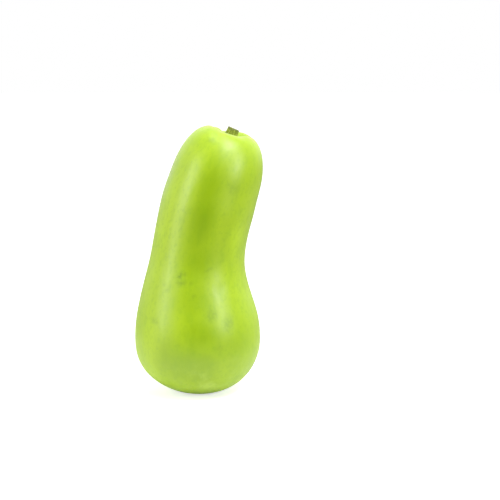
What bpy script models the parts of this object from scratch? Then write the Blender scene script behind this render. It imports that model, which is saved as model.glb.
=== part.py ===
"""A bottle gourd, picked, standing on the flat spot under its bulb.

The fruit is one grown body and its cut stem stands in the hollow at its top. Both are first
shaped straight, as turned outlines with ribs, furrows and dents, and then bent along one core
line that leans to the right and a little to the back. Sizes below are in millimetres and
angles in degrees; the model itself is in metres, +Z up, with the floor at Z = 0.
"""

import math

import bmesh
import bpy
import numpy as np
from mathutils import Vector, noise

MM = 0.001

# The fruit, straightened: heights run along its core from the floor
BULB_RADIUS = 53.2
BULB_HEIGHT = 44.7
BULB_FULLNESS = 2.1  # the power of the underside's curve: 2 is an ellipse
BODY_OUTLINE = (  # (height, radius) from above the bulb's widest place to the shoulder
    (61.0, 52.2),
    (78.0, 48.5),
    (95.5, 43.8),
    (111.5, 40.2),
    (127.5, 39.0),
    (144.0, 39.0),
    (161.0, 39.3),
)
SHOULDER_HEIGHT = 178.5
SHOULDER_RADIUS = 38.5
CREST_HEIGHT = 225.3
CREST_RADIUS = 16.0

# The flat spot that the fruit rests on, and the blossom scar in the middle of it
SETTLE = 1.5  # how far the round underside has flattened, which gives the spot its radius
SCAR_RADIUS = 6.0
SCAR_DEPTH = 1.5
NUB_RADIUS = 2.6
NUB_HEIGHT = 0.9

# The hollow at the top and the round socket that the stem is rooted in
HOLLOW_DEPTH = 5.2
SOCKET_RADIUS = 6.6
SOCKET_DEPTH = 4.0
ROOT_GAP = 0.3

# The core's lean to the right, seen from the front, and to the back at the top
CORE_LEAN = (  # (height, angle)
    (0.0, 0.0),
    (15.0, -1.4),
    (60.0, -2.5),
    (95.0, 2.4),
    (120.0, 7.3),
    (145.0, 12.9),
    (190.0, 17.7),
    (226.0, 16.3),
)
BACK_LEAN = 4.0
BACK_LEAN_FROM = 110.0

# The stem
STEM_TOP = 228.6  # height of its cut end on the core
STEM_FLANK = (  # (share of its length above the hollow's floor, radius)
    (0.20, 5.7),
    (0.45, 5.1),
    (0.75, 4.7),
)
STEM_TOP_RADIUS = 4.7
STEM_EDGE = 0.5  # rounding at the cut
STEM_LEAN = 6.0  # more than the core's, to the right
STEM_SHIFT = 0.75  # how far it stands to the right of its root
STEM_CUT_TILT = 7.5  # of the cut end, down to the right
STEM_RIBS = 5
STEM_RIB_SHARE = 0.075  # of the stem's radius
STEM_SMALL_RIB_SHARE = 0.026  # of the smaller ribs, twice as many
STEM_RIBS_BEGIN = 3.0  # height above the hollow's floor at which ribs and shift are full
PITH_RADIUS = 2.6
PITH_FLOOR_RADIUS = 1.8
PITH_DEPTH = 0.6

# How the skin departs from a turned shape
OVAL = (  # (lobes, share of the radius, turn of the first lobe, twist in degrees per mm of height)
    (2, 0.010, 35.0, 0.10),
    (3, 0.006, 80.0, -0.22),
    (5, 0.004, 10.0, 0.05),
)
SWELL = 0.45  # height of the broad uneven swells
SWELL_WIDTH = 45.0
TURNED_BELOW = 2.0  # the underside is truly round up to here
GROWN_ABOVE = 30.0  # and from here up the skin departs from round in full
FURROWS = 8  # shallow folds that run from the stem over the crest
FURROW_DEPTH = 0.5
FURROW_END = 31.0  # radius at which they have faded out
FURROW_WANDER = 0.6
CREST_LOBES = (  # (angle from the right-hand side, half its width, rise) round the hollow
    (60.0, 65.0, 2.0),
    (-90.0, 70.0, -2.4),
    (106.0, 28.0, -1.6),
)
CREST_LOBES_END = 28.0  # radius at which they have faded out
DENTS = (  # (angle from the right-hand side, height, radius, depth)
    (-112.0, 219.0, 6.5, 0.55),
    (-60.0, 96.0, 9.0, 0.35),
    (95.0, 150.0, 11.0, 0.50),
    (160.0, 62.0, 10.0, 0.40),
)

# Finishes: linear colour and roughness
SKIN_COLOUR = (0.40, 0.62, 0.055)
SKIN_ROUGHNESS = 0.38
STEM_COLOUR = (0.16, 0.21, 0.035)
STEM_ROUGHNESS = 0.75
SHARP_ANGLE = 50.0

# How finely the solids are divided
FRUIT_SIDES = 60
FRUIT_STEP = 4.6
UNDERSIDE_POINTS = 9
SHOULDER_POINTS = 6
SCAR_RINGS = 8
STEM_SIDES = 40
STEM_STEP = 1.1
CORE_STEP = 1.0


def natural_spline(knots, values):
    """A function that passes smoothly through values at knots, with no jump in its curvature."""
    knots = np.asarray(knots, float)
    values = np.asarray(values, float).reshape(len(knots), -1)
    gap = np.diff(knots)
    slope = np.diff(values, axis=0) / gap[:, None]
    system = np.eye(len(knots))
    right = np.zeros_like(values)
    for i in range(1, len(knots) - 1):
        system[i, i - 1 : i + 2] = gap[i - 1], 2 * (gap[i - 1] + gap[i]), gap[i]
        right[i] = 6 * (slope[i] - slope[i - 1])
    bend = np.linalg.solve(system, right)

    def at(x):
        i = int(np.clip(np.searchsorted(knots, x) - 1, 0, len(gap) - 1))
        a, b = knots[i + 1] - x, x - knots[i]
        cubic = (bend[i] * a**3 + bend[i + 1] * b**3) / (6 * gap[i])
        start = (values[i] / gap[i] - bend[i] * gap[i] / 6) * a
        end = (values[i + 1] / gap[i] - bend[i + 1] * gap[i] / 6) * b
        return cubic + start + end

    return at


def smooth_step(low, high, x):
    t = min(max((x - low) / (high - low), 0.0), 1.0)
    return t * t * (3 - 2 * t)


def make_core():
    """Points and directions along the core line, one for each CORE_STEP of its length."""
    lean = natural_spline(*zip(*CORE_LEAN))
    place = Vector((0.0, 0.0, 0.0))
    places, directions = [], []
    for i in range(math.ceil(STEM_TOP / CORE_STEP) + 2):
        height = i * CORE_STEP
        right = math.radians(float(lean(min(height, CREST_HEIGHT))[0]))
        back = math.radians(BACK_LEAN) * smooth_step(BACK_LEAN_FROM, CREST_HEIGHT, height)
        direction = Vector(
            (
                math.sin(right) * math.cos(back),
                math.sin(back),
                math.cos(right) * math.cos(back),
            )
        )
        places.append(place.copy())
        directions.append(direction)
        place = place + direction * CORE_STEP
    return places, directions


def bent(point, core):
    """Where a point of the straight shape lies once the core is bent."""
    places, directions = core
    along = max(point.z, 0.0) / CORE_STEP
    i = min(int(along), len(places) - 2)
    share = along - i
    direction = directions[i].lerp(directions[i + 1], share).normalized()
    side = Vector((0, 1, 0)).cross(direction).normalized()
    depth = direction.cross(side)
    centre = places[i].lerp(places[i + 1], share)
    return centre + side * point.x + depth * point.y


def smooth_path(guide, step):
    """Evenly spaced points, at most step apart, on the smooth curve through the guide points."""
    guide = np.array(guide, float)
    chords = np.linalg.norm(np.diff(guide, axis=0), axis=1)
    knots = np.concatenate([[0.0], np.cumsum(chords)])
    curve = natural_spline(knots, guide)
    count = math.ceil(knots[-1] / step)
    return [tuple(curve(knots[-1] * i / count)) for i in range(count + 1)]


def scar_outline():
    """(radius, height) points of the blossom scar: a shallow dish with a nub in the middle."""
    points = []
    for i in range(SCAR_RINGS + 1):
        radius = SCAR_RADIUS * i / SCAR_RINGS
        dish = SCAR_DEPTH * (1 - smooth_step(NUB_RADIUS, SCAR_RADIUS, radius))
        nub = NUB_HEIGHT * (1 - smooth_step(0, NUB_RADIUS, radius))
        points.append((radius, dish - nub))
    return points


def underside_outline():
    """(radius, height) points from the flat spot's edge to the bulb's widest place."""
    power = 2 / BULB_FULLNESS
    flat_edge = math.acos((BULB_HEIGHT / (BULB_HEIGHT + SETTLE)) ** (1 / power))
    points = []
    for i in range(UNDERSIDE_POINTS):
        angle = flat_edge + (math.pi / 2 - flat_edge) * i / (UNDERSIDE_POINTS - 1)
        drop = (BULB_HEIGHT + SETTLE) * abs(math.cos(angle)) ** power
        points.append((BULB_RADIUS * math.sin(angle) ** power, BULB_HEIGHT - drop))
    return points


def shoulder_outline():
    """(radius, height) points of the quarter ellipse from the neck's top to the crest."""
    points = []
    for i in range(SHOULDER_POINTS):
        angle = math.pi / 2 * i / (SHOULDER_POINTS - 1)
        radius = CREST_RADIUS + (SHOULDER_RADIUS - CREST_RADIUS) * math.cos(angle)
        height = SHOULDER_HEIGHT + (CREST_HEIGHT - SHOULDER_HEIGHT) * math.sin(angle)
        points.append((radius, height))
    return points


def hollow_outline():
    """(radius, height) points from inside the crest down to the socket's edge."""
    points = []
    for share in (1 / 3, 2 / 3, 1):
        radius = CREST_RADIUS + (SOCKET_RADIUS - CREST_RADIUS) * share
        points.append((radius, CREST_HEIGHT - HOLLOW_DEPTH * smooth_step(0, 1, share)))
    return points


def fruit_outline():
    """(radius, height) points of the straight fruit, from the blossom scar to the socket's floor."""
    body = [(radius, height) for height, radius in BODY_OUTLINE]
    guide = underside_outline() + body + shoulder_outline() + hollow_outline()
    fine = smooth_path(guide, FRUIT_STEP / 2)
    skin = [point for i, point in enumerate(fine) if i % 2 == 0 or point[0] < CREST_RADIUS]
    floor = CREST_HEIGHT - HOLLOW_DEPTH
    socket = [
        (SOCKET_RADIUS, floor - SOCKET_DEPTH / 2),
        (SOCKET_RADIUS, floor - SOCKET_DEPTH),
        (SOCKET_RADIUS / 2, floor - SOCKET_DEPTH),
        (0.0, floor - SOCKET_DEPTH),
    ]
    return scar_outline() + skin + socket


def turned(outline, sides):
    """A bmesh of the outline's (radius, height) points turned once round Z."""
    bm = bmesh.new()
    line = [bm.verts.new((radius, 0.0, height)) for radius, height in outline]
    edges = [bm.edges.new(pair) for pair in zip(line, line[1:])]
    bmesh.ops.spin(
        bm,
        geom=line + edges,
        cent=(0, 0, 0),
        axis=(0, 0, 1),
        angle=math.tau,
        steps=sides,
        use_merge=True,
    )
    bmesh.ops.remove_doubles(bm, verts=bm.verts, dist=1e-4)
    bmesh.ops.recalc_face_normals(bm, faces=bm.faces)
    return bm


def oval_share(theta, height):
    return sum(
        share * math.cos(lobes * (theta - math.radians(turn + twist * height)))
        for lobes, share, turn, twist in OVAL
    )


def furrow(theta, radius):
    """How far a fold sinks the skin, from nothing on the shoulder to most beside the stem."""
    wander = FURROW_WANDER * (math.sin(2 * theta + 0.6) + math.sin(3 * theta))
    fold = 0.5 - 0.5 * math.cos(FURROWS * theta + wander)
    inner = smooth_step(SOCKET_RADIUS, (SOCKET_RADIUS + CREST_RADIUS) / 2, radius)
    outer = 1 - smooth_step(CREST_RADIUS, FURROW_END, radius)
    return FURROW_DEPTH * fold**2 * inner * outer


def crest_lobe(theta, radius):
    """How far the crest stands above its mean height, or below it where this is negative."""
    rise = 0.0
    for turn, half_width, highest in CREST_LOBES:
        off = math.degrees(abs(math.remainder(theta - math.radians(turn), math.tau)))
        rise += highest * (1 - smooth_step(0, half_width, off))
    inner = smooth_step(SOCKET_RADIUS, CREST_RADIUS, radius)
    outer = 1 - smooth_step(CREST_RADIUS, CREST_LOBES_END, radius)
    return rise * inner * outer


def dent(theta, height, radius):
    depth = 0.0
    for turn, at_height, width, deepest in DENTS:
        across = math.remainder(theta - math.radians(turn), math.tau) * radius
        distance = math.hypot(across, height - at_height)
        depth += deepest * (1 - smooth_step(0.0, width, distance))
    return depth


def grow_skin(bm):
    """Moves the turned fruit's points to the oval, swollen, furrowed and dented skin."""
    for v in bm.verts:
        radius, height = math.hypot(v.co.x, v.co.y), v.co.z
        if radius < SOCKET_RADIUS + ROOT_GAP:
            continue
        theta = math.atan2(v.co.y, v.co.x)
        free = smooth_step(TURNED_BELOW, GROWN_ABOVE, height)
        free *= smooth_step(SOCKET_RADIUS, (CREST_RADIUS + SHOULDER_RADIUS) / 2, radius)
        swell = SWELL * noise.noise(v.co / SWELL_WIDTH) - dent(theta, height, radius)
        grown = radius + free * (radius * oval_share(theta, height) + swell)
        v.co.x *= grown / radius
        v.co.y *= grown / radius
        if height > SHOULDER_HEIGHT:
            v.co.z += crest_lobe(theta, radius) - furrow(theta, radius)


def stem_outline():
    """(radius, height) points of the straight stem, from its root's middle to its pith."""
    floor = CREST_HEIGHT - HOLLOW_DEPTH
    root = floor - SOCKET_DEPTH + ROOT_GAP
    foot = SOCKET_RADIUS - ROOT_GAP
    length = STEM_TOP - floor
    flank = [(foot, floor)] + [(radius, floor + share * length) for share, radius in STEM_FLANK]
    flank = smooth_path(flank + [(STEM_TOP_RADIUS, STEM_TOP - STEM_EDGE)], STEM_STEP)
    cut = [
        (STEM_TOP_RADIUS - STEM_EDGE / 2, STEM_TOP - STEM_EDGE / 4),
        (STEM_TOP_RADIUS - STEM_EDGE, STEM_TOP),
        (PITH_RADIUS, STEM_TOP),
        (PITH_FLOOR_RADIUS, STEM_TOP - PITH_DEPTH),
        (0.0, STEM_TOP - PITH_DEPTH),
    ]
    return [(0.0, root), (foot / 2, root), (foot, root)] + flank + cut


def rib_stem(bm):
    """Gives the turned stem its ribs, lean and shift above the socket, and its slanting cut."""
    floor = CREST_HEIGHT - HOLLOW_DEPTH
    slant = math.tan(math.radians(STEM_CUT_TILT))
    lean = math.tan(math.radians(STEM_LEAN))
    for v in bm.verts:
        radius, above = math.hypot(v.co.x, v.co.y), v.co.z - floor
        if above <= 0.0:
            continue
        theta = math.atan2(v.co.y, v.co.x)
        rib = STEM_RIB_SHARE * math.cos(STEM_RIBS * theta + 0.5)
        rib += STEM_SMALL_RIB_SHARE * math.cos(2 * STEM_RIBS * theta + 1.9)
        rib *= smooth_step(0, STEM_RIBS_BEGIN, above)
        rib *= smooth_step(PITH_FLOOR_RADIUS, STEM_TOP_RADIUS, radius)
        v.co.z -= slant * v.co.x * above / (STEM_TOP - floor)
        v.co.x *= 1 + rib
        v.co.y *= 1 + rib
        v.co.x += lean * above + STEM_SHIFT * smooth_step(0, STEM_RIBS_BEGIN, above)


def finish(name, colour, roughness):
    material = bpy.data.materials.new(name)
    material.use_nodes = True
    shader = material.node_tree.nodes["Principled BSDF"]
    shader.inputs["Base Color"].default_value = (*colour, 1.0)
    shader.inputs["Roughness"].default_value = roughness
    shader.inputs["Metallic"].default_value = 0.0
    return material


def add_object(name, bm, core, material):
    """Bends a straight bmesh along the core and puts it in the scene, in metres."""
    for v in bm.verts:
        v.co = bent(v.co, core) * MM
    mesh = bpy.data.meshes.new(name)
    bm.to_mesh(mesh)
    bm.free()
    mesh.shade_smooth()
    mesh.set_sharp_from_angle(angle=math.radians(SHARP_ANGLE))
    mesh.materials.append(material)
    obj = bpy.data.objects.new(name, mesh)
    bpy.context.scene.collection.objects.link(obj)
    return obj


def centre_on_floor(objects):
    """Moves the objects together so that the middle of their outer box is over the origin."""
    corners = [v.co for obj in objects for v in obj.data.vertices]
    middle = [(min(c[k] for c in corners) + max(c[k] for c in corners)) / 2 for k in (0, 1)]
    for obj in objects:
        for v in obj.data.vertices:
            v.co -= Vector((middle[0], middle[1], 0.0))


def main():
    for obj in list(bpy.data.objects):
        bpy.data.objects.remove(obj)
    core = make_core()

    fruit = turned(fruit_outline(), FRUIT_SIDES)
    grow_skin(fruit)
    skin = finish("gourd_skin", SKIN_COLOUR, SKIN_ROUGHNESS)
    fruit_object = add_object("fruit", fruit, core, skin)

    stem = turned(stem_outline(), STEM_SIDES)
    rib_stem(stem)
    fibre = finish("cut_stem", STEM_COLOUR, STEM_ROUGHNESS)
    stem_object = add_object("stem", stem, core, fibre)

    centre_on_floor([fruit_object, stem_object])


main()
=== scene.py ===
# A picked bottle gourd: its looks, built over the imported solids.
# A piece is shaped straight, in millimetres and degrees, then bent along the core and put in metres.

import math

import bmesh
import bpy
import numpy as np
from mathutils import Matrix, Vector, noise


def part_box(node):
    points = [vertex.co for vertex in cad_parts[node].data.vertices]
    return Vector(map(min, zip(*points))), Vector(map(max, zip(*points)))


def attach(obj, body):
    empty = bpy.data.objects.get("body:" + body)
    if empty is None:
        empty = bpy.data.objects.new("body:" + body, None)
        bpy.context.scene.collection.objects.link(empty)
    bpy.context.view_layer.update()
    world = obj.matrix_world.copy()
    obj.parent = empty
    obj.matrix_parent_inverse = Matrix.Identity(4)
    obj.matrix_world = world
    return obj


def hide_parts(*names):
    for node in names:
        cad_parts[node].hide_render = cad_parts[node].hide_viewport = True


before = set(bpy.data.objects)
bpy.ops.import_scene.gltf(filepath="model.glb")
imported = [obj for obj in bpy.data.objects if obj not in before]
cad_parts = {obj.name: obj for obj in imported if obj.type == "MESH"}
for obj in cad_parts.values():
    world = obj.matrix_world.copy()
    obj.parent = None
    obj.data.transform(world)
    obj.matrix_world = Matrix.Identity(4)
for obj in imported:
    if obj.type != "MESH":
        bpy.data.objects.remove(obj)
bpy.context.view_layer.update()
print("frame loaded:", ", ".join(sorted(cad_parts)))

mm = 0.001


# Curves and the bent core that both pieces share

def naturalSpline(knots, values):
    # a function that passes smoothly through values at knots
    knots = np.asarray(knots, float)
    values = np.asarray(values, float).reshape(len(knots), -1)
    gap = np.diff(knots)
    slope = np.diff(values, axis=0) / gap[:, None]
    system = np.eye(len(knots))
    right = np.zeros_like(values)
    for i in range(1, len(knots) - 1):
        system[i, i - 1:i + 2] = gap[i - 1], 2 * (gap[i - 1] + gap[i]), gap[i]
        right[i] = 6 * (slope[i] - slope[i - 1])
    bend = np.linalg.solve(system, right)

    def at(x):
        i = int(np.clip(np.searchsorted(knots, x) - 1, 0, len(gap) - 1))
        a, b = knots[i + 1] - x, x - knots[i]
        cubic = (bend[i] * a ** 3 + bend[i + 1] * b ** 3) / (6 * gap[i])
        start = (values[i] / gap[i] - bend[i] * gap[i] / 6) * a
        end = (values[i + 1] / gap[i] - bend[i + 1] * gap[i] / 6) * b
        return cubic + start + end

    return at


def smoothStep(low, high, x):
    t = min(max((x - low) / (high - low), 0.0), 1.0)
    return t * t * (3 - 2 * t)


def smoothPath(guide, step):
    # evenly spaced points on the smooth curve through the guide points
    guide = np.array(guide, float)
    chords = np.linalg.norm(np.diff(guide, axis=0), axis=1)
    knots = np.concatenate([[0.0], np.cumsum(chords)])
    curve = naturalSpline(knots, guide)
    count = math.ceil(knots[-1] / step)
    return [tuple(curve(knots[-1] * i / count)) for i in range(count + 1)]


core = {
    "lean": (  # height, lean to the right
        (0.0, 0.0), (15.0, -1.4), (60.0, -2.5), (95.0, 2.4),
        (120.0, 7.3), (145.0, 12.9), (190.0, 17.7), (226.0, 16.3),
    ),
    "leanTop": 225.3,
    "backLean": 4.0,
    "backLeanFrom": 110.0,
    "length": 231.0,
    "step": 1.0,
}


def makeCore():
    # points and directions along the core line, one for each step of its length
    lean = naturalSpline(*zip(*core["lean"]))
    place = Vector((0.0, 0.0, 0.0))
    places, directions = [], []
    for i in range(int(core["length"] / core["step"]) + 1):
        height = i * core["step"]
        right = math.radians(float(lean(min(height, core["leanTop"]))[0]))
        back = math.radians(core["backLean"])
        back *= smoothStep(core["backLeanFrom"], core["leanTop"], height)
        x, z = math.sin(right) * math.cos(back), math.cos(right) * math.cos(back)
        direction = Vector((x, math.sin(back), z))
        places.append(place.copy())
        directions.append(direction)
        place = place + direction * core["step"]
    return places, directions


corePlaces, coreDirections = makeCore()


def bent(point):
    # where a point of the straight shape lies once the core is bent
    along = max(point.z, 0.0) / core["step"]
    i = min(int(along), len(corePlaces) - 2)
    direction = coreDirections[i].lerp(coreDirections[i + 1], along - i).normalized()
    side = Vector((0, 1, 0)).cross(direction).normalized()
    depth = direction.cross(side)
    centre = corePlaces[i].lerp(corePlaces[i + 1], along - i)
    return centre + side * point.x + depth * point.y


def turned(outline, sides):
    # the outline's (radius, height) points, turned once round Z
    bm = bmesh.new()
    line = [bm.verts.new((radius, 0.0, height)) for radius, height in outline]
    edges = [bm.edges.new(pair) for pair in zip(line, line[1:])]
    bmesh.ops.spin(bm, geom=line + edges, cent=(0, 0, 0), axis=(0, 0, 1),
                   angle=math.tau, steps=sides, use_merge=True)
    bmesh.ops.remove_doubles(bm, verts=bm.verts, dist=1e-4)
    bmesh.ops.recalc_face_normals(bm, faces=bm.faces)
    return bm


def keepStraightPlaces(bm):
    # each point remembers where it lies on the straight shape, for patterns that follow the skin
    layer = bm.verts.layers.float_vector.new("straight")
    for v in bm.verts:
        v[layer] = v.co


def addPiece(name, bm, shift):
    for v in bm.verts:
        v.co = (bent(v.co) + shift) * mm
    mesh = bpy.data.meshes.new(name)
    bm.to_mesh(mesh)
    bm.free()
    mesh.shade_smooth()
    piece = bpy.data.objects.new(name, mesh)
    bpy.context.scene.collection.objects.link(piece)
    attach(piece, "root")
    print(name, "has", len(mesh.vertices), "points")
    return piece


# The fruit

gourd = {
    "bulbRadius": 53.2,
    "bulbHeight": 44.7,
    "bulbFullness": 2.1,
    "body": (  # height, radius
        (61.0, 52.2), (78.0, 48.5), (95.5, 43.8), (111.5, 40.2),
        (127.5, 39.0), (144.0, 39.0), (161.0, 39.3),
    ),
    "shoulderHeight": 178.5,
    "shoulderRadius": 38.5,
    "crestHeight": 225.3,
    "crestRadius": 16.0,
    "settle": 1.5,
    "scarRadius": 6.0,
    "scarDepth": 1.5,
    "nubRadius": 2.6,
    "nubHeight": 0.9,
    "hollowDepth": 5.2,
    "socketRadius": 6.6,
    "rootGap": 0.3,
    "oval": (  # lobes, share of the radius, turn, twist to a millimetre
        (2, 0.010, 35.0, 0.10), (3, 0.006, 80.0, -0.22), (5, 0.004, 10.0, 0.05),
    ),
    "swell": 0.45,
    "swellWidth": 45.0,
    "turnedBelow": 2.0,
    "grownAbove": 30.0,
    "furrows": 8,
    "furrowDepth": 0.5,
    "furrowEnd": 31.0,
    "furrowWander": 0.6,
    "crestLobes": (  # turn, half width, rise
        (60.0, 65.0, 2.0), (-90.0, 70.0, -2.4), (106.0, 28.0, -1.6),
    ),
    "crestLobesEnd": 28.0,
    "dents": (  # turn, height, radius, depth
        (-112.0, 219.0, 6.5, 0.55), (-60.0, 96.0, 9.0, 0.35),
        (95.0, 150.0, 11.0, 0.50), (160.0, 62.0, 10.0, 0.40),
    ),
    # what is finer than the solids: ripples along the skin, and wrinkles round the scar
    "ripple": 0.10,
    "rippleWidth": 9.0,
    "rippleLength": 26.0,
    "wrinkles": 17,
    "wrinkleDepth": 0.22,
    "wrinkleWander": 2.2,
    "wrinkleStart": 1.2,
    "wrinkleFull": 3.4,
    "wrinkleFade": 4.6,
    "collarRise": 0.5,
    "collarFoot": 5.2,
    "sides": 240,
    "step": 1.3,
    "scarRings": 16,
    "undersidePoints": 9,
    "shoulderPoints": 6,
}

hollowFloor = gourd["crestHeight"] - gourd["hollowDepth"]


def scarOutline():
    points = []
    for i in range(gourd["scarRings"] + 1):
        radius = gourd["scarRadius"] * i / gourd["scarRings"]
        dish = gourd["scarDepth"] * (1 - smoothStep(gourd["nubRadius"], gourd["scarRadius"], radius))
        nub = gourd["nubHeight"] * (1 - smoothStep(0, gourd["nubRadius"], radius))
        points.append((radius, dish - nub))
    return points


def undersideOutline():
    count = gourd["undersidePoints"]
    power = 2 / gourd["bulbFullness"]
    tall = gourd["bulbHeight"] + gourd["settle"]
    flatEdge = math.acos((gourd["bulbHeight"] / tall) ** (1 / power))
    points = []
    for i in range(count):
        angle = flatEdge + (math.pi / 2 - flatEdge) * i / (count - 1)
        drop = tall * abs(math.cos(angle)) ** power
        points.append((gourd["bulbRadius"] * math.sin(angle) ** power, gourd["bulbHeight"] - drop))
    return points


def shoulderOutline():
    count = gourd["shoulderPoints"]
    points = []
    for i in range(count):
        angle = math.pi / 2 * i / (count - 1)
        radius = gourd["crestRadius"] + (gourd["shoulderRadius"] - gourd["crestRadius"]) * math.cos(angle)
        rise = (gourd["crestHeight"] - gourd["shoulderHeight"]) * math.sin(angle)
        points.append((radius, gourd["shoulderHeight"] + rise))
    return points


def hollowOutline():
    points = []
    for share in (1 / 3, 2 / 3, 1):
        radius = gourd["crestRadius"] + (gourd["socketRadius"] - gourd["crestRadius"]) * share
        points.append((radius, gourd["crestHeight"] - gourd["hollowDepth"] * smoothStep(0, 1, share)))
    return points


def skinOutline():
    # from the flat spot's edge up to the floor of the hollow
    body = [(radius, height) for height, radius in gourd["body"]]
    guide = undersideOutline() + body + shoulderOutline() + hollowOutline()
    return smoothPath(guide, gourd["step"])


def collarOutline():
    # the skin turns in against the stem, and the shape is closed below it, out of sight
    foot, rise = gourd["collarFoot"], gourd["collarRise"]
    middle = (gourd["socketRadius"] + foot) / 2
    top, bottom = hollowFloor + rise, hollowFloor - rise
    return [(middle, hollowFloor + rise / 2), (foot, top), (foot, bottom), (0.0, bottom)]


def ovalShare(theta, height):
    return sum(
        share * math.cos(lobes * (theta - math.radians(turn + twist * height)))
        for lobes, share, turn, twist in gourd["oval"]
    )


def furrow(theta, radius):
    wander = gourd["furrowWander"] * (math.sin(2 * theta + 0.6) + math.sin(3 * theta))
    fold = 0.5 - 0.5 * math.cos(gourd["furrows"] * theta + wander)
    halfway = (gourd["socketRadius"] + gourd["crestRadius"]) / 2
    inner = smoothStep(gourd["socketRadius"], halfway, radius)
    outer = 1 - smoothStep(gourd["crestRadius"], gourd["furrowEnd"], radius)
    return gourd["furrowDepth"] * fold ** 2 * inner * outer


def crestLobe(theta, radius):
    rise = 0.0
    for turn, halfWidth, highest in gourd["crestLobes"]:
        off = math.degrees(abs(math.remainder(theta - math.radians(turn), math.tau)))
        rise += highest * (1 - smoothStep(0, halfWidth, off))
    inner = smoothStep(gourd["socketRadius"], gourd["crestRadius"], radius)
    outer = 1 - smoothStep(gourd["crestRadius"], gourd["crestLobesEnd"], radius)
    return rise * inner * outer


def dent(theta, height, radius):
    depth = 0.0
    for turn, atHeight, width, deepest in gourd["dents"]:
        across = math.remainder(theta - math.radians(turn), math.tau) * radius
        distance = math.hypot(across, height - atHeight)
        depth += deepest * (1 - smoothStep(0.0, width, distance))
    return depth


def ripple(co):
    # low waves, longer along the gourd than round it
    wide, tall = gourd["rippleWidth"], gourd["rippleLength"]
    return gourd["ripple"] * noise.noise(Vector((co.x / wide, co.y / wide, co.z / tall)))


def wrinkleScar(v, theta, radius):
    # small folds that run into the blossom scar
    fold = math.cos(gourd["wrinkles"] * theta + gourd["wrinkleWander"] * math.sin(3 * theta))
    near = smoothStep(gourd["wrinkleStart"], gourd["wrinkleFull"], radius)
    near *= 1 - smoothStep(gourd["wrinkleFade"], gourd["scarRadius"], radius)
    v.co.z += gourd["wrinkleDepth"] * (0.5 + 0.5 * fold) * near


def growSkin(bm):
    halfway = (gourd["crestRadius"] + gourd["shoulderRadius"]) / 2
    for v in bm.verts:
        radius, height = math.hypot(v.co.x, v.co.y), v.co.z
        theta = math.atan2(v.co.y, v.co.x)
        if height < gourd["scarDepth"] and radius < gourd["scarRadius"]:
            wrinkleScar(v, theta, radius)
        if radius < gourd["socketRadius"] + gourd["rootGap"]:
            continue
        free = smoothStep(gourd["turnedBelow"], gourd["grownAbove"], height)
        free *= smoothStep(gourd["socketRadius"], halfway, radius)
        swell = gourd["swell"] * noise.noise(v.co / gourd["swellWidth"])
        swell += ripple(v.co) - dent(theta, height, radius)
        grown = radius + free * (radius * ovalShare(theta, height) + swell)
        v.co.x *= grown / radius
        v.co.y *= grown / radius
        if height > gourd["shoulderHeight"]:
            v.co.z += crestLobe(theta, radius) - furrow(theta, radius)


def frameShift(bm):
    # the step from the core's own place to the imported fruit's place
    low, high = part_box("fruit")
    places = [bent(v.co) for v in bm.verts]
    middle = [(min(p[k] for p in places) + max(p[k] for p in places)) / 2 for k in (0, 1)]
    return Vector(((low.x + high.x) / 2 / mm - middle[0], (low.y + high.y) / 2 / mm - middle[1], 0.0))


fruitMesh = turned(scarOutline() + skinOutline() + collarOutline(), gourd["sides"])
growSkin(fruitMesh)
keepStraightPlaces(fruitMesh)
pieceShift = frameShift(fruitMesh)
fruitPiece = addPiece("gourd_fruit", fruitMesh, pieceShift)
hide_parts("fruit")


# The stem

stem = {
    "top": 228.6,
    "flank": ((0.20, 5.7), (0.45, 5.1), (0.75, 4.7)),  # share of the length, radius
    "topRadius": 4.7,
    "edge": 0.5,
    "lean": 6.0,
    "shift": 0.75,
    "cutTilt": 7.5,
    "ribs": 5,
    "ribShare": 0.075,
    "smallRibShare": 0.026,
    "ribsBegin": 3.0,
    "pithRadius": 2.6,
    "pithFloorRadius": 1.8,
    "pithDepth": 0.6,
    # what is finer than the solid: fibres, warts, the bundles in the cut and its frayed edge
    "root": 1.2,
    "fibres": 29,
    "fibreDepth": 0.07,
    "wartDepth": 0.22,
    "wartWidth": 1.5,
    "wartShare": 0.15,  # how much of the noise stays under the skin
    "bundles": 10,
    "bundleRing": 3.55,
    "bundleRadius": 0.42,
    "bundleDepth": 0.20,
    "fray": 0.16,
    "frayScale": 1.7,
    "grain": 0.06,
    "grainScale": 2.3,
    "sides": 200,
    "step": 0.22,
}


def stemOutline():
    foot = gourd["socketRadius"] - gourd["rootGap"]
    top, edge, rim = stem["top"], stem["edge"], stem["topRadius"]
    pith, pithFloor = stem["pithRadius"], top - stem["pithDepth"]
    root = hollowFloor - stem["root"]
    points = [(0.0, root), (foot, root), (foot, hollowFloor)]
    flank = [(radius, hollowFloor + share * (top - hollowFloor)) for share, radius in stem["flank"]]
    for guide in (
        [(foot, hollowFloor)] + flank + [(rim, top - edge)],
        [(rim, top - edge), (rim - edge / 2, top - edge / 4), (rim - edge, top)],
        [(rim - edge, top), (pith, top)],
        [(pith, top), (stem["pithFloorRadius"], pithFloor), (0.0, pithFloor)],
    ):
        points += smoothPath(guide, stem["step"])[1:]
    return points


def bundle(theta, radius):
    # how far the cut face sinks at the nearest of the ring of bundles
    step = math.tau / stem["bundles"]
    off = math.remainder(theta, step) * stem["bundleRing"]
    distance = math.hypot(off, radius - stem["bundleRing"])
    return stem["bundleDepth"] * (1 - smoothStep(0.0, stem["bundleRadius"], distance))


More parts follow.
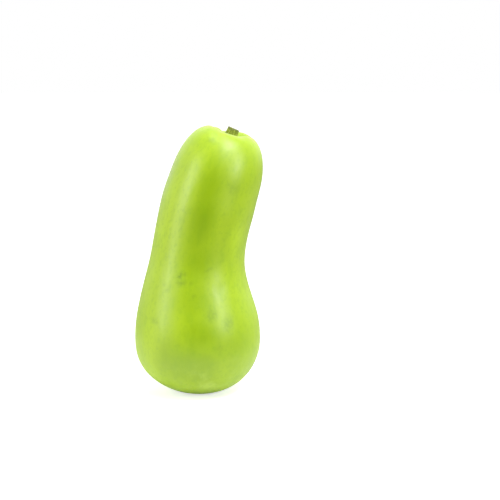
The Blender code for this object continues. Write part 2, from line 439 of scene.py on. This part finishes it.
def ribStem(bm):
    slant = math.tan(math.radians(stem["cutTilt"]))
    lean = math.tan(math.radians(stem["lean"]))
    for v in bm.verts:
        radius, above = math.hypot(v.co.x, v.co.y), v.co.z - hollowFloor
        if above <= 0.0:
            continue
        theta = math.atan2(v.co.y, v.co.x)
        begun = smoothStep(0, stem["ribsBegin"], above)
        outside = smoothStep(stem["topRadius"] - 1.0, stem["topRadius"], radius)
        rib = stem["ribShare"] * math.cos(stem["ribs"] * theta + 0.5)
        rib += stem["smallRibShare"] * math.cos(2 * stem["ribs"] * theta + 1.9)
        rib *= begun * smoothStep(stem["pithFloorRadius"], stem["topRadius"], radius)
        fibre = math.cos(stem["fibres"] * theta + 0.8 * math.sin(0.9 * above) + 2 * math.sin(2 * theta))
        wart = max(noise.noise(v.co / stem["wartWidth"]) - stem["wartShare"], 0.0)
        skin = outside * (stem["fibreDepth"] * fibre * begun + stem["wartDepth"] * wart)
        if v.co.z > stem["top"] - 0.9 * stem["edge"]:
            frayed = 0.5 + noise.noise(v.co * stem["frayScale"])
            v.co.z -= bundle(theta, radius) + stem["fray"] * frayed * outside
            v.co.z += stem["grain"] * noise.noise(v.co * stem["grainScale"])
        v.co.z -= slant * v.co.x * above / (stem["top"] - hollowFloor)
        if radius > 0:
            v.co.x *= 1 + rib + skin / radius
            v.co.y *= 1 + rib + skin / radius
        v.co.x += lean * above + stem["shift"] * begun


stemMesh = turned(stemOutline(), stem["sides"])
keepStraightPlaces(stemMesh)
ribStem(stemMesh)
stemPiece = addPiece("stem_stub", stemMesh, pieceShift)
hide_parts("stem")
print("shapes made")


# Nodes

def addNode(tree, kind, column, row, settings=None, **values):
    node = tree.nodes.new(kind)
    node.location = (200 * column, -200 * row)
    for name, value in (settings or {}).items():
        setattr(node, name, value)
    for name, value in values.items():
        node.inputs[name].default_value = value
    return node


def feed(tree, socket, given):
    # what is given is another socket or a plain value
    if isinstance(given, bpy.types.NodeSocket):
        tree.links.new(given, socket)
    else:
        socket.default_value = given


def addMath(tree, operation, column, row, *given):
    node = addNode(tree, "ShaderNodeMath", column, row, {"operation": operation})
    for socket, value in zip(node.inputs, given):
        feed(tree, socket, value)
    return node.outputs[0]


def addRamp(tree, column, row, value, low, high, toLow=0.0, toHigh=1.0):
    node = addNode(tree, "ShaderNodeMapRange", column, row, {"interpolation_type": "SMOOTHSTEP"})
    tree.links.new(value, node.inputs["Value"])
    for name, given in (("From Min", low), ("From Max", high), ("To Min", toLow), ("To Max", toHigh)):
        feed(tree, node.inputs[name], given)
    return node.outputs["Result"]


def addMix(tree, column, row, mask, under, over):
    # a colour mix; under and over are sockets or linear colours
    node = addNode(tree, "ShaderNodeMix", column, row, {"data_type": "RGBA"})
    tree.links.new(mask, node.inputs[0])
    for i, given in ((6, under), (7, over)):
        feed(tree, node.inputs[i], (*given, 1.0) if isinstance(given, tuple) else given)
    return node.outputs[2]


def newGroup(name, inputs):
    # an empty node group with a Vector and number inputs and one Mask output
    group = bpy.data.node_groups.new(name, "ShaderNodeTree")
    group.interface.new_socket("Vector", in_out="INPUT", socket_type="NodeSocketVector")
    for socket, value in inputs.items():
        made = group.interface.new_socket(socket, in_out="INPUT", socket_type="NodeSocketFloat")
        made.default_value = value
    group.interface.new_socket("Mask", in_out="OUTPUT", socket_type="NodeSocketFloat")
    entry = addNode(group, "NodeGroupInput", 0, 0)
    leave = addNode(group, "NodeGroupOutput", 8, 0)
    return group, entry.outputs, leave.inputs["Mask"]


def makeStreaks():
    # noise drawn out along the growth, as thin dark lines or broad clouds
    group, given, mask = newGroup("streaks", {"Across": 1.0, "Along": 0.1, "Low": 0.4, "High": 0.6})
    scale = addNode(group, "ShaderNodeCombineXYZ", 1, 1)
    for socket, source in (("X", "Across"), ("Y", "Across"), ("Z", "Along")):
        group.links.new(given[source], scale.inputs[socket])
    drawn = addNode(group, "ShaderNodeVectorMath", 2, 0, {"operation": "MULTIPLY"})
    group.links.new(given["Vector"], drawn.inputs[0])
    group.links.new(scale.outputs[0], drawn.inputs[1])
    cloud = addNode(group, "ShaderNodeTexNoise", 3, 0, Scale=1.0, Detail=3.0, Roughness=0.55)
    group.links.new(drawn.outputs[0], cloud.inputs["Vector"])
    group.links.new(addRamp(group, 5, 0, cloud.outputs[0], given["Low"], given["High"]), mask)
    return group


def makeSpots():
    # small round spots, one in each cell of a loose grid
    group, given, mask = newGroup("spots", {"Spacing": 3.0, "Size": 0.2, "Share": 0.5})
    size = addMath(group, "DIVIDE", 1, 1, 1.0, given["Spacing"])
    cells = addNode(group, "ShaderNodeTexVoronoi", 2, 0)
    group.links.new(given["Vector"], cells.inputs["Vector"])
    group.links.new(size, cells.inputs["Scale"])
    dot = addRamp(group, 4, 0, cells.outputs["Distance"], 0.0, given["Size"], 1.0, 0.0)
    chance = addNode(group, "ShaderNodeSeparateColor", 4, 1)
    group.links.new(cells.outputs["Color"], chance.inputs[0])
    kept = addMath(group, "LESS_THAN", 5, 1, chance.outputs[0], given["Share"])
    group.links.new(addMath(group, "MULTIPLY", 6, 0, dot, kept), mask)
    return group


def makePatch():
    # a soft ragged patch about the origin, one unit in radius
    group, given, mask = newGroup("patch", {"Ragged": 0.3, "Grain": 2.0, "Core": 0.2})
    cloud = addNode(group, "ShaderNodeTexNoise", 1, 1, Detail=4.0, Roughness=0.6)
    group.links.new(given["Vector"], cloud.inputs["Vector"])
    group.links.new(given["Grain"], cloud.inputs["Scale"])
    wobble = addMath(group, "SUBTRACT", 2, 1, cloud.outputs[0], 0.5)
    wobble = addMath(group, "MULTIPLY", 3, 1, wobble, given["Ragged"])
    reach = addNode(group, "ShaderNodeVectorMath", 2, 0, {"operation": "LENGTH"})
    group.links.new(given["Vector"], reach.inputs[0])
    reach = addMath(group, "ADD", 4, 0, reach.outputs["Value"], wobble)
    group.links.new(addRamp(group, 6, 0, reach, given["Core"], 1.0, 1.0, 0.0), mask)
    return group


streaks, spots, patch = makeStreaks(), makeSpots(), makePatch()


def useGroup(tree, group, column, row, vector, **values):
    node = addNode(tree, "ShaderNodeGroup", column, row, {"node_tree": group}, **values)
    tree.links.new(vector, node.inputs["Vector"])
    return node.outputs["Mask"]


def newMaterial(name):
    material = bpy.data.materials.new(name)
    material.use_nodes = True
    tree = material.node_tree
    shader = tree.nodes["Principled BSDF"]
    shader.location = (200 * 14, 0)
    tree.nodes["Material Output"].location = (200 * 16, 0)
    straight = addNode(tree, "ShaderNodeAttribute", -2, 0, {"attribute_name": "straight"})
    return material, tree, shader, straight.outputs["Vector"]


# The skin

skin = {
    "lime": (0.418, 0.610, 0.003),
    "deep": (0.226, 0.390, 0.000),
    # a paler green, which also paints light on the paler places
    "paleAndLitGreen": (0.490, 0.700, 0.004),
    "pale": (0.56, 0.74, 0.090),
    "streak": (0.23, 0.44, 0.001),
    "bruise": (0.180, 0.335, 0.000),
    "scar": (0.30, 0.21, 0.09),
    "roughness": 0.42,
    "sheen": 0.04,
    "sheenRoughness": 0.3,
    "ior": 1.65,
    # how much of each colour shows through
    "cloudShare": 0.20,
    "undersideShare": 0.6,
    "undersideFrom": 46.0,  # height from which the underside pales
    "undersideTo": 12.0,
    "fineShare": 0.26,
    "broadShare": 0.20,
    "dotShare": 0.22,
    "fleckShare": 0.60,
    # what each adds to the roughness
    "shadeDull": -0.10,
    "markDull": 0.06,
    "corkDull": 0.35,
    "grainDull": 0.05,
    "corkSize": (7.0, 7.0, 3.0),
    "bump": 0.35,
    "bumpHeight": 0.00012,
    # broad deeper places, partly the skin's deeper green and partly painted shade: turn, height, half
    # width, half height, tilt, strength
    "deepGreenAndPaintedShade": (
        (-94.0, 164.0, 17.0, 60.0, 2.0, 0.60),
        (-90.0, 156.0, 14.0, 44.0, 0.0, 0.70),
        (-86.0, 118.0, 20.0, 32.0, 0.0, 0.36),
        (-88.0, 86.0, 24.0, 30.0, 0.0, 0.26),
        (-84.0, 58.0, 28.0, 26.0, 0.0, 0.52),
        (-100.0, 38.0, 40.0, 28.0, 0.0, 0.60),
        (-50.0, 44.0, 28.0, 30.0, 0.0, 0.26),
        (40.0, 120.0, 16.0, 60.0, 4.0, 0.50),
        (150.0, 60.0, 22.0, 34.0, 0.0, 0.40),
        (-170.0, 170.0, 15.0, 40.0, -3.0, 0.45),
        (-115.0, 214.0, 6.0, 5.0, 0.0, 0.45),
        (-66.0, 92.0, 10.0, 18.0, 0.0, 0.30),
    ),
    # paler places, partly the skin's paler green and partly painted light, given the same way
    "paleGreenAndPaintedLight": (
        (-138.0, 142.0, 26.0, 72.0, 0.0, 0.95),
        (-134.0, 56.0, 18.0, 40.0, 0.0, 0.75),
        (-40.0, 142.0, 16.0, 26.0, 0.0, 0.80),
        (110.0, 90.0, 24.0, 40.0, 10.0, 0.60),
    ),
    # and small marks
    "marks": (
        (-106.0, 106.5, 6.5, 4.2, 25.0, 1.00),
        (-105.0, 101.0, 7.5, 6.0, 0.0, 0.70),
        (-120.0, 94.5, 3.6, 5.0, -20.0, 0.45),
        (-125.0, 98.0, 4.2, 3.2, -30.0, 0.38),
        (-75.0, 113.0, 6.0, 2.2, 28.0, 0.55),
        (-94.0, 101.0, 3.4, 3.4, 0.0, 0.35),
        (-90.0, 91.0, 3.4, 3.4, 0.0, 0.45),
        (-66.0, 183.0, 9.0, 8.0, 0.0, 0.45),
        (-73.0, 75.0, 8.0, 10.0, 0.0, 0.60),
        (-57.5, 66.0, 8.0, 12.0, 0.0, 0.60),
        (-68.0, 47.0, 6.0, 7.0, 0.0, 0.40),
        (-130.0, 70.0, 6.5, 4.0, -30.0, 0.45),
        (-115.0, 214.0, 6.0, 5.0, 0.0, 0.20),
        (60.0, 60.0, 7.0, 5.0, 20.0, 0.40),
        (130.0, 120.0, 3.5, 8.0, 12.0, 0.35),
        (20.0, 150.0, 5.0, 4.0, 0.0, 0.32),
        (170.0, 190.0, 6.0, 4.0, -20.0, 0.35),
    ),
}


def sideOutline():
    # the skin's radii and heights from the flat spot to just under the crest
    side = [point for point in skinOutline() if point[1] < gourd["crestHeight"] - 0.5]
    highest = int(np.argmax([height for _, height in side]))
    return zip(*side[:highest + 1])


sideRadii, sideHeights = sideOutline()


def skinPoint(turn, height):
    # the place on the straight skin at that turn and height
    radius = float(np.interp(height, sideHeights, sideRadii))
    angle = math.radians(turn)
    return radius * math.cos(angle), radius * math.sin(angle), height


def addPatches(tree, straight, column, row, patches, ragged, grain):
    # patches on the skin, the strongest winning where two meet
    total = None
    for i, (turn, height, halfWidth, halfHeight, tilt, strength) in enumerate(patches):
        place = addNode(
            tree, "ShaderNodeMapping", column, row + i, {"vector_type": "TEXTURE"},
            Location=skinPoint(turn, height),
            Rotation=(0.0, math.radians(tilt), math.radians(turn - 90)),
            Scale=(halfWidth, max(halfWidth, halfHeight), halfHeight),
        )
        tree.links.new(straight, place.inputs["Vector"])
        mask = useGroup(tree, patch, column + 1, row + i, place.outputs[0],
                        Ragged=ragged, Grain=grain, Core=0.0)
        mask = addMath(tree, "MULTIPLY", column + 2, row + i, mask, strength)
        total = mask if total is None else addMath(tree, "MAXIMUM", column + 3, row + i, total, mask)
    return total


def makeSkin():
    material, tree, shader, straight = newMaterial("gourd skin")
    height = addNode(tree, "ShaderNodeSeparateXYZ", 0, 2)
    tree.links.new(straight, height.inputs[0])
    height = height.outputs["Z"]

    clouds = useGroup(tree, streaks, 1, 0, straight, Across=0.035, Along=0.016, Low=0.35, High=0.62)
    # deeper places: partly the skin's deeper green, partly painted shade
    deepGreenAndPaintedShade = addPatches(tree, straight, -2, 2, skin["deepGreenAndPaintedShade"], 0.5, 1.5)
    deepness = addMath(tree, "MULTIPLY_ADD", 3, 0, clouds, skin["cloudShare"], deepGreenAndPaintedShade)
    colour = addMix(tree, 4, 0, deepness, skin["lime"], skin["deep"])
    # paler places: partly the skin's paler green, partly painted light
    paleAndLitMask = addPatches(tree, straight, -2, 15, skin["paleGreenAndPaintedLight"], 0.5, 1.5)
    colour = addMix(tree, 4, 1, paleAndLitMask, colour, skin["paleAndLitGreen"])

    # the underside is paler, in blotches
    under = addRamp(tree, 1, 3, height, skin["undersideTo"], skin["undersideFrom"], 1.0, 0.0)
    blotch = useGroup(tree, streaks, 1, 4, straight, Across=0.07, Along=0.06, Low=0.42, High=0.75)
    under = addMath(tree, "MULTIPLY", 3, 3, under, blotch)
    under = addMath(tree, "MULTIPLY", 4, 3, under, skin["undersideShare"])
    colour = addMix(tree, 5, 0, under, colour, skin["pale"])

    # mottling along the growth, and pale dots
    fine = useGroup(tree, streaks, 1, 5, straight, Across=0.42, Along=0.30, Low=0.50, High=0.70)
    fine = addMath(tree, "MULTIPLY", 5, 5, fine, skin["fineShare"])
    colour = addMix(tree, 6, 0, fine, colour, skin["streak"])
    broad = useGroup(tree, streaks, 1, 6, straight, Across=0.16, Along=0.08, Low=0.48, High=0.70)
    broad = addMath(tree, "MULTIPLY", 5, 6, broad, skin["broadShare"])
    colour = addMix(tree, 7, 0, broad, colour, skin["streak"])
    dots = useGroup(tree, spots, 1, 7, straight, Spacing=3.2, Size=0.16, Share=0.45)
    dots = addMath(tree, "MULTIPLY", 5, 7, dots, skin["dotShare"])
    colour = addMix(tree, 8, 0, dots, colour, skin["pale"])

    marks = addPatches(tree, straight, 1, 9, skin["marks"], 1.0, 1.6)
    flecks = useGroup(tree, streaks, 3, 30, straight, Across=0.45, Along=0.40, Low=0.34, High=0.66)
    flecks = addMath(tree, "MULTIPLY_ADD", 4, 30, flecks, skin["fleckShare"], 1 - skin["fleckShare"])
    marks = addMath(tree, "MULTIPLY", 5, 9, marks, flecks)
    colour = addMix(tree, 9, 0, marks, colour, skin["bruise"])

    # corky tissue in the blossom scar
    bottom = addNode(tree, "ShaderNodeMapping", 1, 8, {"vector_type": "TEXTURE"}, Scale=skin["corkSize"])
    tree.links.new(straight, bottom.inputs["Vector"])
    cork = useGroup(tree, patch, 2, 8, bottom.outputs[0], Ragged=0.7, Grain=3.0, Core=0.6)
    colour = addMix(tree, 10, 0, cork, colour, skin["scar"])
    tree.links.new(colour, shader.inputs["Base Color"])

    grain = useGroup(tree, streaks, 7, 4, straight, Across=0.4, Along=0.12, Low=0.3, High=0.7)
    rough = addMath(tree, "MULTIPLY_ADD", 9, 2, deepGreenAndPaintedShade, skin["shadeDull"], skin["roughness"])
    rough = addMath(tree, "MULTIPLY_ADD", 10, 2, marks, skin["markDull"], rough)
    rough = addMath(tree, "MULTIPLY_ADD", 11, 2, cork, skin["corkDull"], rough)
    rough = addMath(tree, "MULTIPLY_ADD", 12, 2, grain, skin["grainDull"], rough)
    tree.links.new(rough, shader.inputs["Roughness"])

    # pores and dimples; the marks are sunk a little
    pores = addNode(tree, "ShaderNodeTexNoise", 9, 6, Scale=1.4, Detail=3.0, Roughness=0.6)
    tree.links.new(straight, pores.inputs["Vector"])
    dimples = useGroup(tree, streaks, 9, 7, straight, Across=0.20, Along=0.13, Low=0.20, High=0.80)
    relief = addMath(tree, "MULTIPLY_ADD", 11, 6, dimples, 1.2, pores.outputs[0])
    relief = addMath(tree, "MULTIPLY_ADD", 12, 6, marks, -0.8, relief)
    bump = addNode(tree, "ShaderNodeBump", 13, 6, Strength=skin["bump"], Distance=skin["bumpHeight"])
    tree.links.new(relief, bump.inputs["Height"])
    tree.links.new(bump.outputs[0], shader.inputs["Normal"])

    shader.inputs["Sheen Weight"].default_value = skin["sheen"]
    shader.inputs["Sheen Roughness"].default_value = skin["sheenRoughness"]
    shader.inputs["IOR"].default_value = skin["ior"]
    return material


fruitPiece.data.materials.append(makeSkin())


# The stem's bark and its cut

bark = {
    "olive": (0.17, 0.215, 0.005),
    "light": (0.37, 0.43, 0.065),
    "groove": (0.10, 0.11, 0.018),
    "dry": (0.20, 0.20, 0.12),
    "cut": (0.42, 0.42, 0.20),
    "pith": (0.55, 0.50, 0.30),
    "ring": (0.22, 0.24, 0.07),
    "roughness": 0.72,
    "cutDull": 0.12,  # what the cut adds to the roughness
    "ior": 1.45,
    # how much of each colour shows through
    "grooveShare": 0.75,
    "fleckShare": 0.5,
    "dryShare": 0.8,
    "grainShare": 0.35,
    "dryDepth": 2.6,  # how far down from the cut the bark has dried
    "bump": 0.5,
    "bumpHeight": 0.00018,
}


def makeBark():
    material, tree, shader, straight = newMaterial("cut stem")
    # the bark's own streaks, lighter where the bump raises them and darker in the sunk grooves: partly
    # the bark's colour, partly painted highlight on the ridges and painted shade in the grooves
    long = useGroup(tree, streaks, 1, 0, straight, Across=0.9, Along=0.16, Low=0.36, High=0.64)
    colour = addMix(tree, 3, 0, long, bark["olive"], bark["light"])
    thin = useGroup(tree, streaks, 1, 1, straight, Across=2.6, Along=0.25, Low=0.48, High=0.66)
    grooveTintAndShade = addMath(tree, "MULTIPLY", 3, 1, thin, bark["grooveShare"])
    colour = addMix(tree, 4, 0, grooveTintAndShade, colour, bark["groove"])
    flecks = useGroup(tree, spots, 1, 2, straight, Spacing=0.9, Size=0.3, Share=0.35)
    flecks = addMath(tree, "MULTIPLY", 3, 2, flecks, bark["fleckShare"])
    colour = addMix(tree, 5, 0, flecks, colour, bark["light"])

    place = addNode(tree, "ShaderNodeSeparateXYZ", 0, 4)
    tree.links.new(straight, place.inputs[0])
    height = place.outputs["Z"]
    dry = addRamp(tree, 3, 3, height, stem["top"] - bark["dryDepth"], stem["top"] - 0.6)
    worn = useGroup(tree, streaks, 1, 3, straight, Across=0.8, Along=0.5, Low=0.35, High=0.6)
    dry = addMath(tree, "MULTIPLY", 4, 3, dry, worn)
    dry = addMath(tree, "MULTIPLY", 5, 3, dry, bark["dryShare"])
    colour = addMix(tree, 6, 0, dry, colour, bark["dry"])

    # the cut face: pith in the middle, then a ring of bundles
    flat = addNode(tree, "ShaderNodeVectorMath", 1, 5, {"operation": "MULTIPLY"})
    flat.inputs[1].default_value = (1.0, 1.0, 0.0)
    tree.links.new(straight, flat.inputs[0])
    radius = addNode(tree, "ShaderNodeVectorMath", 2, 5, {"operation": "LENGTH"})
    tree.links.new(flat.outputs[0], radius.inputs[0])
    radius = radius.outputs["Value"]
    face = addRamp(tree, 3, 5, radius, stem["topRadius"] - 0.15, stem["topRadius"] - 0.5)
    face.node.interpolation_type = "LINEAR"
    cutZone = addRamp(tree, 3, 6, height, stem["top"] - 1.0, stem["top"] - 0.8)
    face = addMath(tree, "MULTIPLY", 4, 5, face, cutZone)
    inner = addRamp(tree, 3, 7, radius, stem["pithRadius"] + 0.2, stem["pithRadius"] - 0.3)
    ring = addRamp(tree, 3, 8, radius, stem["bundleRing"] - 0.6, stem["bundleRing"])
    grain = useGroup(tree, spots, 3, 9, straight, Spacing=0.55, Size=0.45, Share=0.8)
    grain = addMath(tree, "MULTIPLY", 5, 9, grain, bark["grainShare"])
    section = addMix(tree, 5, 7, ring, bark["cut"], bark["ring"])
    section = addMix(tree, 6, 7, inner, section, bark["pith"])
    section = addMix(tree, 7, 7, grain, section, bark["groove"])
    colour = addMix(tree, 8, 0, face, colour, section)
    tree.links.new(colour, shader.inputs["Base Color"])

    rough = addMath(tree, "MULTIPLY_ADD", 9, 2, face, bark["cutDull"], bark["roughness"])
    tree.links.new(rough, shader.inputs["Roughness"])
    relief = addMath(tree, "SUBTRACT", 9, 4, long, thin)
    bump = addNode(tree, "ShaderNodeBump", 11, 4, Strength=bark["bump"], Distance=bark["bumpHeight"])
    tree.links.new(relief, bump.inputs["Height"])
    tree.links.new(bump.outputs[0], shader.inputs["Normal"])
    shader.inputs["IOR"].default_value = bark["ior"]
    return material


stemPiece.data.materials.append(makeBark())
print("finishes made")


# The floor, the lights and the camera

studio = {
    "floorRadius": 6.0,
    "floorMiddle": (-0.07, 0.05, 0.0),  # the middle of its whitest place
    "floorNear": 0.80,  # how white the floor is round the gourd
    "floorFar": 0.07,  # how white far off, on the camera's side,
    "floorBehind": 0.45,  # and behind the gourd; only the skin's gloss shows these
    "floorGlow": 0.02,  # the light that the floor sends up round the gourd
    # seenNear is a glow that only the camera sees round the gourd: painted light that lightens the
    # floor's contact shadow
    "seenNear": 0.58,  # what the camera sees besides, round the gourd
    "seenFar": 1.0,  # and far from it, where the floor runs into the white behind
    "fadeFrom": 0.13,  # distances between which near passes into far
    "fadeTo": 0.36,
    "behindFrom": -0.2,  # where, in depth, the camera's side passes into what is behind
    "behindTo": 0.1,
    "behind": 1.70,  # the surroundings' strength behind the gourd
    "before": 0.0,  # and on the camera's side
    "sky": 1.0,  # as the camera sees them
    "aim": (0.015, 0.0, 0.13),  # what the boxes face,
    "boxDistance": 1.1,  # from this far off
    # turn from the camera's side to the right, elevation, width, height, power
    "boxes": {
        "topBox": (20.0, 84.0, 0.80, 0.70, 5.81),
        "topRight": (39.0, 53.0, 0.33, 0.28, 7.75),
        "leftStrip": (-62.0, 17.0, 0.32, 0.80, 6.68),
        "leftWall": (-102.0, 18.0, 0.80, 1.00, 0.88),
        "rightStrip": (52.0, 17.0, 0.26, 0.42, 5.49),
        "rightWall": (104.0, 32.0, 0.80, 0.70, 0.56),
    },
}


def makeFloor():
    bm = bmesh.new()
    bmesh.ops.create_circle(bm, cap_ends=True, segments=96, radius=studio["floorRadius"])
    mesh = bpy.data.meshes.new("floor")
    bm.to_mesh(mesh)
    bm.free()
    floor = bpy.data.objects.new("floor", mesh)
    bpy.context.scene.collection.objects.link(floor)
    material = bpy.data.materials.new("floor")
    material.use_nodes = True
    tree = material.node_tree
    shader = tree.nodes["Principled BSDF"]
    shader.location = (800, 0)
    tree.nodes["Material Output"].location = (1200, 0)
    shader.inputs["Roughness"].default_value = 0.9
    shader.inputs["Specular IOR Level"].default_value = 0.0
    shader.inputs["Emission Color"].default_value = (1.0, 1.0, 1.0, 1.0)
    place = addNode(tree, "ShaderNodeTexCoord", 0, 0)
    reach = addNode(tree, "ShaderNodeVectorMath", 1, 0, {"operation": "DISTANCE"})
    reach.inputs[1].default_value = studio["floorMiddle"]
    tree.links.new(place.outputs["Object"], reach.inputs[0])
    reach = reach.outputs["Value"]
    near, far = studio["fadeFrom"], studio["fadeTo"]
    axes = addNode(tree, "ShaderNodeSeparateXYZ", 1, -3)
    tree.links.new(place.outputs["Object"], axes.inputs[0])
    off = addRamp(tree, 2, -4, axes.outputs["Y"], studio["behindFrom"], studio["behindTo"],
                  studio["floorFar"], studio["floorBehind"])
    white = addRamp(tree, 3, -2, reach, near, far, studio["floorNear"], off)
    tree.links.new(white, shader.inputs["Base Color"])
    glow = addRamp(tree, 2, 0, reach, near, far, studio["floorGlow"], 0.0)
    # a glow for the camera only: painted light over the contact shadow near the gourd, plain white far
    # off
    seen = addRamp(tree, 2, 2, reach, near, far, studio["seenNear"], studio["seenFar"])
    path = addNode(tree, "ShaderNodeLightPath", 2, 4)
    seen = addMath(tree, "MULTIPLY", 3, 2, seen, path.outputs["Is Camera Ray"])
    tree.links.new(addMath(tree, "ADD", 3, 0, glow, seen), shader.inputs["Emission Strength"])
    mesh.materials.append(material)


def makeSurroundings():
    # white all round for the camera; as light, stronger from behind the gourd
    world = bpy.data.worlds.new("studio")
    bpy.context.scene.world = world
    world.use_nodes = True
    tree = world.node_tree
    lit = tree.nodes["Background"]
    tree.nodes["World Output"].location = (1000, 0)
    direction = addNode(tree, "ShaderNodeTexCoord", 0, 0)
    axes = addNode(tree, "ShaderNodeSeparateXYZ", 1, 0)
    tree.links.new(direction.outputs["Generated"], axes.inputs[0])
    strength = addRamp(tree, 2, 0, axes.outputs["Y"], -0.2, 1.0, studio["before"], studio["behind"])
    tree.links.new(strength, lit.inputs["Strength"])
    lit.inputs["Color"].default_value = (1.0, 1.0, 1.0, 1.0)
    seen = addNode(tree, "ShaderNodeBackground", 3, 1, Strength=studio["sky"])
    seen.inputs["Color"].default_value = (1.0, 1.0, 1.0, 1.0)
    path = addNode(tree, "ShaderNodeLightPath", 2, 2)
    mix = addNode(tree, "ShaderNodeMixShader", 4, 0)
    tree.links.new(path.outputs["Is Camera Ray"], mix.inputs[0])
    tree.links.new(lit.outputs[0], mix.inputs[1])
    tree.links.new(seen.outputs[0], mix.inputs[2])
    tree.links.new(mix.outputs[0], tree.nodes["World Output"].inputs["Surface"])


def makeBoxes():
    aim = Vector(studio["aim"])
    for name, (turn, elevation, width, height, power) in studio["boxes"].items():
        light = bpy.data.lights.new(name, "AREA")
        light.shape = "RECTANGLE"
        light.size, light.size_y = width, height
        light.energy = power
        box = bpy.data.objects.new(name, light)
        bpy.context.scene.collection.objects.link(box)
        a, e = math.radians(turn), math.radians(elevation)
        away = Vector((math.sin(a) * math.cos(e), -math.cos(a) * math.cos(e), math.sin(e)))
        box.location = aim + away * studio["boxDistance"]
        box.rotation_euler = away.to_track_quat("Z", "Y").to_euler()
        box.visible_camera = False


camera = {
    "lens": 85.0,
    "sensor": 36.0,
    "distance": 0.998,
    "elevation": 10.0,
    "target": (0.0436, 0.0, 0.1216),
}


def makeCamera():
    data = bpy.data.cameras.new("camera")
    data.lens, data.sensor_width = camera["lens"], camera["sensor"]
    eye = bpy.data.objects.new("camera", data)
    bpy.context.scene.collection.objects.link(eye)
    e = math.radians(camera["elevation"])
    away = Vector((0.0, -math.cos(e), math.sin(e)))
    eye.location = Vector(camera["target"]) + away * camera["distance"]
    eye.rotation_euler = (math.pi / 2 - e, 0.0, 0.0)
    bpy.context.scene.camera = eye


makeFloor()
makeSurroundings()
makeBoxes()
makeCamera()
bpy.context.scene.view_settings.view_transform = "Standard"
print("studio ready")
